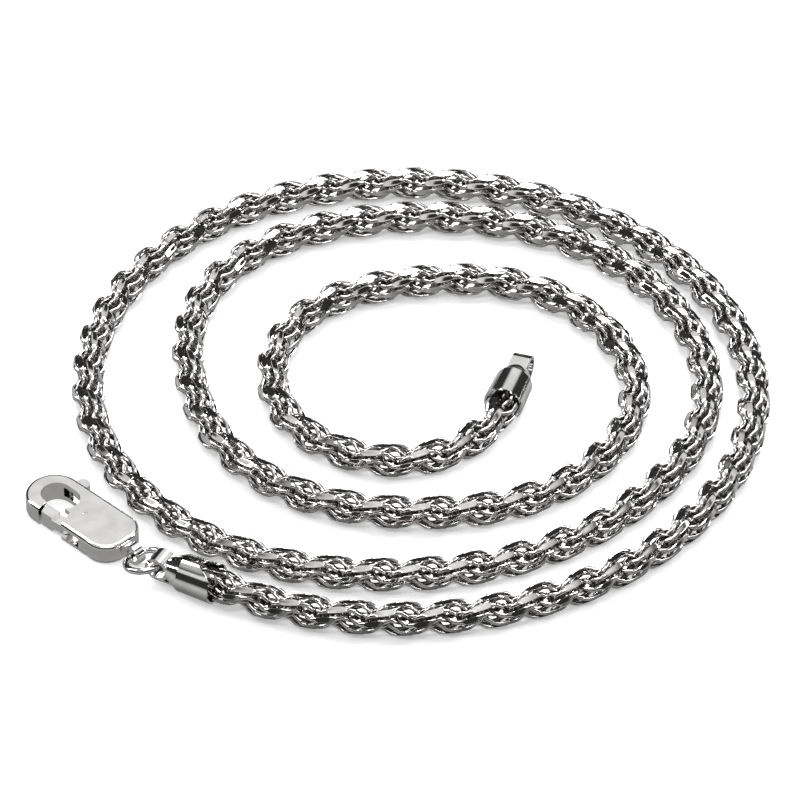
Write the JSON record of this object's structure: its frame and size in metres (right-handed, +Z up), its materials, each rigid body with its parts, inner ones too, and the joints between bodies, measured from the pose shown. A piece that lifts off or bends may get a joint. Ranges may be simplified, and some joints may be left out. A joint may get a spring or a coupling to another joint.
{
  "type": "rope chain necklace",
  "caption": "Rope chain necklace laid in a flat spiral, of twisted C-shaped links with flat-cut faces, rolled end caps, a jump ring and a sprung lobster clasp.",
  "frame": {"origin": "centre of the necklace's bounding box, on the table it lies on", "axes": "+Z up from the table; +X to the right and +Y away from someone facing the clasp's side"},
  "size_m": [0.0885, 0.0853, 0.0049],
  "materials": {
    "rope_links": "polished and cut flat",
    "end_caps": "polished",
    "ring_wire": "polished",
    "clasp_metal": "polished",
    "spring_steel": "drawn wire"
  },
  "bodies": {
    "section_01": {"links_01": "rope_links", "flex_01": "rope_links", "outer_cap": "end_caps"},
    "section_02": {"links_02": "rope_links", "flex_02": "rope_links"},
    "section_03": {"links_03": "rope_links", "flex_03": "rope_links"},
    "section_04": {"links_04": "rope_links", "flex_04": "rope_links"},
    "section_05": {"links_05": "rope_links", "flex_05": "rope_links"},
    "section_06": {"links_06": "rope_links", "flex_06": "rope_links"},
    "section_07": {"links_07": "rope_links", "flex_07": "rope_links"},
    "section_08": {"links_08": "rope_links", "flex_08": "rope_links"},
    "section_09": {"links_09": "rope_links", "flex_09": "rope_links"},
    "section_10": {"links_10": "rope_links", "flex_10": "rope_links"},
    "section_11": {"links_11": "rope_links", "flex_11": "rope_links"},
    "section_12": {"links_12": "rope_links", "flex_12": "rope_links"},
    "section_13": {"links_13": "rope_links", "flex_13": "rope_links"},
    "section_14": {"links_14": "rope_links", "flex_14": "rope_links"},
    "section_15": {"links_15": "rope_links", "flex_15": "rope_links"},
    "section_16": {"links_16": "rope_links", "flex_16": "rope_links"},
    "section_17": {"links_17": "rope_links", "flex_17": "rope_links"},
    "section_18": {"links_18": "rope_links", "flex_18": "rope_links"},
    "section_19": {"links_19": "rope_links", "flex_19": "rope_links"},
    "section_20": {"links_20": "rope_links", "inner_cap": "end_caps"},
    "jump_ring": {"jump_ring": "ring_wire"},
    "clasp": {"clasp_body": "clasp_metal", "lever_pin": "clasp_metal", "lever_spring": "spring_steel"},
    "lever": {"clasp_lever": "clasp_metal"}
  },
  "joints": [
    {"name": "rope_bend_01", "type": "hinge", "parent": "section_01", "child": "section_02", "pos_m": [0.00525, -0.04041, 0.00202], "axis": [-0.1266, 0.992, 0], "range_deg": [-18, 18], "deforming": ["flex_01"]},
    {"name": "rope_bend_02", "type": "hinge", "parent": "section_02", "child": "section_03", "pos_m": [0.03205, -0.02615, 0.00202], "axis": [0.7527, -0.6584, 0], "range_deg": [-18, 18], "deforming": ["flex_02"]},
    {"name": "rope_bend_03", "type": "hinge", "parent": "section_03", "child": "section_04", "pos_m": [0.04234, 0.00231, 0.00202], "axis": [-0.9986, -0.0526, 0], "range_deg": [-18, 18], "deforming": ["flex_03"]},
    {"name": "rope_bend_04", "type": "hinge", "parent": "section_04", "child": "section_05", "pos_m": [0.02933, 0.02965, 0.00202], "axis": [0.6816, 0.7317, 0], "range_deg": [-18, 18], "deforming": ["flex_04"]},
    {"name": "rope_bend_05", "type": "hinge", "parent": "section_05", "child": "section_06", "pos_m": [0.00112, 0.04069, 0.00202], "axis": [0.0045, -1, 0], "range_deg": [-18, 18], "deforming": ["flex_05"]},
    {"name": "rope_bend_06", "type": "hinge", "parent": "section_06", "child": "section_07", "pos_m": [-0.02693, 0.02943, 0.00202], "axis": [-0.7141, 0.7, 0], "range_deg": [-18, 18], "deforming": ["flex_06"]},
    {"name": "rope_bend_07", "type": "hinge", "parent": "section_07", "child": "section_08", "pos_m": [-0.03764, 0.00122, 0.00202], "axis": [0.9992, 0.0408, 0], "range_deg": [-18, 18], "deforming": ["flex_07"]},
    {"name": "rope_bend_08", "type": "hinge", "parent": "section_08", "child": "section_09", "pos_m": [-0.02425, -0.02575, 0.00202], "axis": [-0.6272, -0.7788, 0], "range_deg": [-18, 18], "deforming": ["flex_08"]},
    {"name": "rope_bend_09", "type": "hinge", "parent": "section_09", "child": "section_10", "pos_m": [0.00511, -0.03264, 0.00202], "axis": [-0.1562, 0.9877, 0], "range_deg": [-18, 18], "deforming": ["flex_09"]},
    {"name": "rope_bend_10", "type": "hinge", "parent": "section_10", "child": "section_11", "pos_m": [0.03072, -0.01665, 0.00202], "axis": [0.8144, -0.5802, 0], "range_deg": [-18, 18], "deforming": ["flex_10"]},
    {"name": "rope_bend_11", "type": "hinge", "parent": "section_11", "child": "section_12", "pos_m": [0.03459, 0.01279, 0.00202], "axis": [-0.9296, -0.3686, 0], "range_deg": [-18, 18], "deforming": ["flex_11"]},
    {"name": "rope_bend_12", "type": "hinge", "parent": "section_12", "child": "section_13", "pos_m": [0.01224, 0.03267, 0.00202], "axis": [0.2538, 0.9672, 0], "range_deg": [-18, 18], "deforming": ["flex_12"]},
    {"name": "rope_bend_13", "type": "hinge", "parent": "section_13", "child": "section_14", "pos_m": [-0.01729, 0.02735, 0.00202], "axis": [0.6235, -0.7818, 0], "range_deg": [-18, 18], "deforming": ["flex_13"]},
    {"name": "rope_bend_14", "type": "hinge", "parent": "section_14", "child": "section_15", "pos_m": [-0.02465, -0.00099, 0.00202], "axis": [-0.9726, -0.2326, 0], "range_deg": [-18, 18], "deforming": ["flex_14"]},
    {"name": "rope_bend_15", "type": "hinge", "parent": "section_15", "child": "section_16", "pos_m": [-0.004, -0.02164, 0.00202], "axis": [0.1858, 0.9826, 0], "range_deg": [-18, 18], "deforming": ["flex_15"]},
    {"name": "rope_bend_16", "type": "hinge", "parent": "section_16", "child": "section_17", "pos_m": [0.0238, -0.01232, 0.00202], "axis": [0.8097, -0.5868, 0], "range_deg": [-18, 18], "deforming": ["flex_16"]},
    {"name": "rope_bend_17", "type": "hinge", "parent": "section_17", "child": "section_18", "pos_m": [0.02129, 0.01589, 0.00202], "axis": [-0.6893, -0.7245, 0], "range_deg": [-18, 18], "deforming": ["flex_17"]},
    {"name": "rope_bend_18", "type": "hinge", "parent": "section_18", "child": "section_19", "pos_m": [-0.00766, 0.01774, 0.00202], "axis": [-0.5255, 0.8508, 0], "range_deg": [-18, 18], "deforming": ["flex_18"]},
    {"name": "rope_bend_19", "type": "hinge", "parent": "section_19", "child": "section_20", "pos_m": [-0.01014, -0.00903, 0.00202], "axis": [0.6678, 0.7444, 0], "range_deg": [-18, 18], "deforming": ["flex_19"]},
    {"name": "ring_swing", "type": "hinge", "parent": "section_01", "child": "jump_ring", "pos_m": [-0.02779, -0.03186, 0.00244], "axis": [-0.47, -0.8827, 0], "range_deg": [-30, 30]},
    {"name": "clasp_swing", "type": "hinge", "parent": "jump_ring", "child": "clasp", "pos_m": [-0.03098, -0.02867, 0.0013], "axis": [-0.6947, -0.7193, 0], "range_deg": [-40, 40]},
    {"name": "lever_open", "type": "hinge", "parent": "clasp", "child": "lever", "pos_m": [-0.03687, -0.02325, 0.0013], "axis": [0, 0, -1], "range_deg": [0, 21], "stiffness_Nm_per_rad": 0.002, "springref_deg": -8.59, "deforming": ["lever_spring"]}
  ]
}
